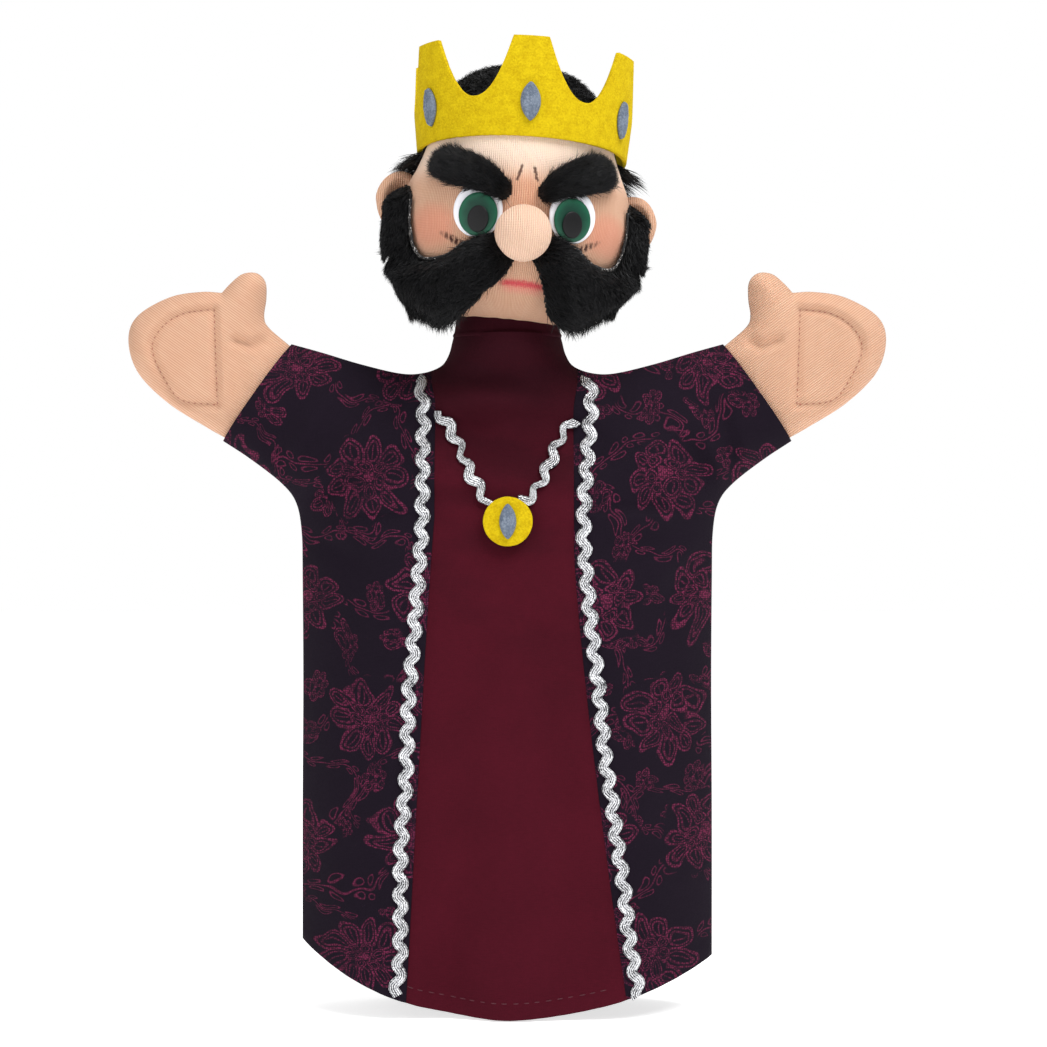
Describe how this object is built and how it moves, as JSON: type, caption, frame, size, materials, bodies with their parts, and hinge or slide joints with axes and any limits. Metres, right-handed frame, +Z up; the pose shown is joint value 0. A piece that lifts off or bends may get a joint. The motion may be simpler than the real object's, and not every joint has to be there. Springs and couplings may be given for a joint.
{
  "type": "hand puppet",
  "caption": "Crowned king hand puppet: cloth robe worn over the hand, stuffed ball head on a finger tube, mitten hands, plush whiskers, felt crown and a pendant.",
  "frame": {"origin": "middle of the hem opening, at the height of the lowest point of the hem", "axes": "+Z up along the robe towards the head, -Y the way the face looks, +X to the puppet's own left"},
  "size_m": [0.2338, 0.0831, 0.2942],
  "materials": {
    "burgundy_cotton": "woven cotton with a slight sheen",
    "floral_cotton": "dark woven cotton printed with plum outline flowers and vines",
    "silver_braid": "woven metallic braid, wavy",
    "skin_jersey": "fine ribbed knit, matt",
    "black_plush": "long soft pile on a knitted backing",
    "yellow_felt": "stiff felt, matt",
    "grey_felt": "stiff felt, matt",
    "eye_white": "smooth white",
    "eye_green": "smooth dark green",
    "eye_black": "smooth black",
    "cardboard": "wound card tube",
    "stuffing": "soft polyester fibre"
  },
  "bodies": {
    "robe": {"center_front_panel": "burgundy_cotton", "left_front_panel": "floral_cotton", "right_front_panel": "floral_cotton", "left_back_panel": "floral_cotton", "right_back_panel": "floral_cotton", "left_rickrack_trim": "silver_braid", "right_rickrack_trim": "silver_braid"},
    "collar": {"collar_front": "burgundy_cotton", "collar_back": "floral_cotton"},
    "head": {"head_cover": "skin_jersey", "head_core": "stuffing", "neck_tube": "cardboard", "nose_cover": "skin_jersey", "nose_core": "stuffing", "left_ear": "skin_jersey", "right_ear": "skin_jersey", "hair_cap": "black_plush", "left_whiskers": "black_plush", "right_whiskers": "black_plush", "left_eyebrow": "black_plush", "right_eyebrow": "black_plush", "left_eye_white": "eye_white", "left_eye_iris": "eye_green", "left_eye_pupil": "eye_black", "right_eye_white": "eye_white", "right_eye_iris": "eye_green", "right_eye_pupil": "eye_black", "crown_band": "yellow_felt", "crown_gem_1": "grey_felt", "crown_gem_2": "grey_felt", "crown_gem_3": "grey_felt", "crown_gem_4": "grey_felt", "crown_gem_5": "grey_felt", "crown_gem_6": "grey_felt"},
    "left_arm": {"left_sleeve_front": "floral_cotton", "left_sleeve_back": "floral_cotton"},
    "left_hand": {"left_hand_palm": "skin_jersey", "left_hand_back": "skin_jersey", "left_hand_padding": "stuffing"},
    "right_arm": {"right_sleeve_front": "floral_cotton", "right_sleeve_back": "floral_cotton"},
    "right_hand": {"right_hand_palm": "skin_jersey", "right_hand_back": "skin_jersey", "right_hand_padding": "stuffing"},
    "necklace": {"left_necklace_strand": "silver_braid", "right_necklace_strand": "silver_braid", "pendant_disc": "yellow_felt", "pendant_gem": "grey_felt"}
  },
  "joints": [
    {"name": "head_nod", "type": "hinge", "parent": "robe", "child": "collar", "pos_m": [0, 0, 0.196], "axis": [1, 0, 0], "range_deg": [-30, 35]},
    {"name": "head_turn", "type": "hinge", "parent": "collar", "child": "head", "pos_m": [0, 0, 0.196], "axis": [0.0576, 0, 0.9983], "range_deg": [-40, 40]},
    {"name": "left_arm_raise", "type": "hinge", "parent": "robe", "child": "left_arm", "pos_m": [0.066, 0, 0.181], "axis": [0, -1, 0], "range_deg": [-35, 20]},
    {"name": "right_arm_raise", "type": "hinge", "parent": "robe", "child": "right_arm", "pos_m": [-0.066, 0, 0.181], "axis": [0, 1, 0], "range_deg": [-35, 20]},
    {"name": "left_hand_fold", "type": "hinge", "parent": "left_arm", "child": "left_hand", "pos_m": [0.07959, 0, 0.19087], "axis": [0.5878, 0, -0.809], "range_deg": [-15, 45]},
    {"name": "right_hand_fold", "type": "hinge", "parent": "right_arm", "child": "right_hand", "pos_m": [-0.07959, 0, 0.19087], "axis": [0.5878, 0, 0.809], "range_deg": [-15, 45]},
    {"name": "pendant_swing", "type": "hinge", "parent": "robe", "child": "necklace", "pos_m": [0, -0.0165, 0.1835], "axis": [-1, 0, 0], "range_deg": [0, 70]}
  ]
}
